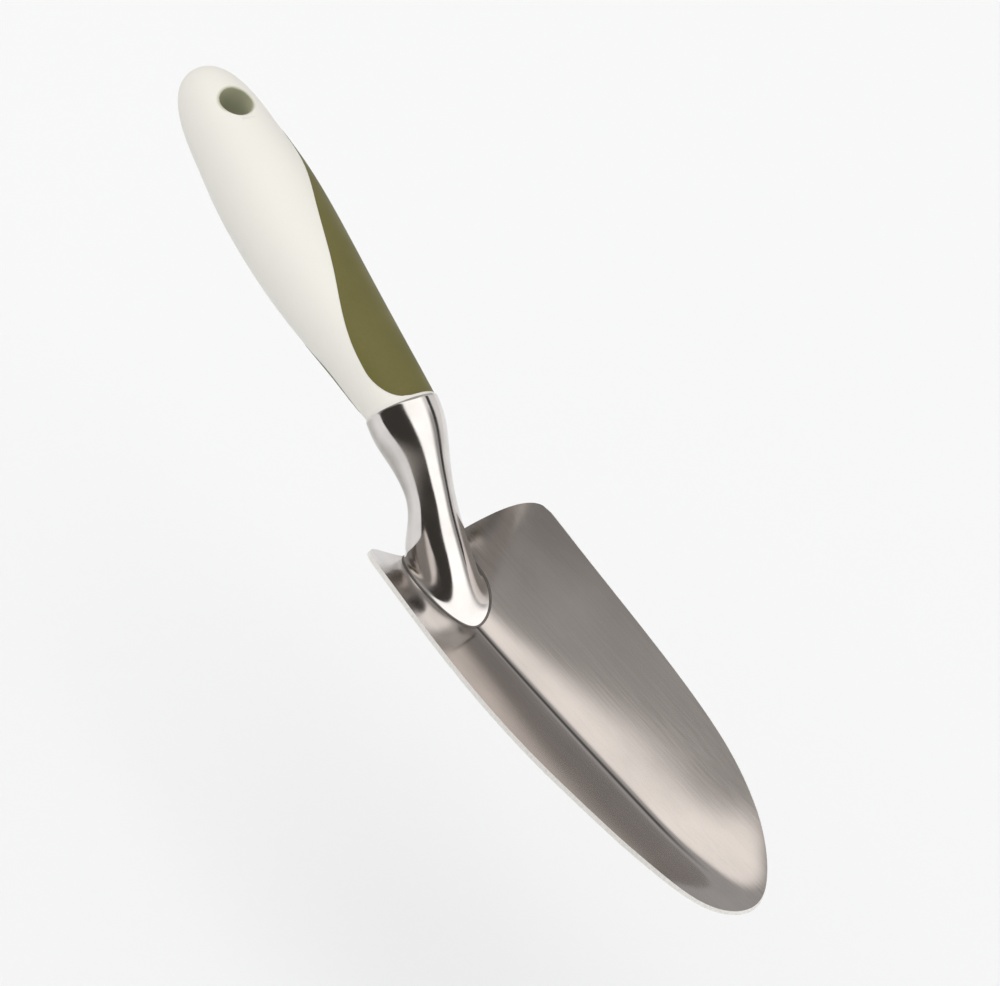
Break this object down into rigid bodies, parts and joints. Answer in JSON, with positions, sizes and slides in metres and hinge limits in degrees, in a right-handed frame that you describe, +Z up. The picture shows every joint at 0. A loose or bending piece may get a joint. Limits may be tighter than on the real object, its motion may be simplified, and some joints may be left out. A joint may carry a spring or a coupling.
{
  "type": "hand trowel",
  "caption": "Hand trowel with a deep stainless V-shaped blade, a cranked polished neck and a cream handle with an olive soft grip and a hanging hole.",
  "frame": {"origin": "under the middle of the whole trowel, on the plane that the back of its blade touches", "axes": "+X from the handle's butt to the blade's tip, +Z up out of the blade's trough, +Y across the blade to the side where the olive grip wraps"},
  "size_m": [0.3172, 0.064, 0.0838],
  "materials": {
    "blade_steel": "satin",
    "neck_steel": "mirror polished",
    "tang_steel": "mill",
    "cream_plastic": "satin moulded",
    "olive_rubber": "satin moulded"
  },
  "bodies": {
    "root": {"blade": "blade_steel", "neck": "neck_steel", "tang": "tang_steel", "handle_core": "cream_plastic", "soft_grip": "olive_rubber"}
  },
  "joints": []
}
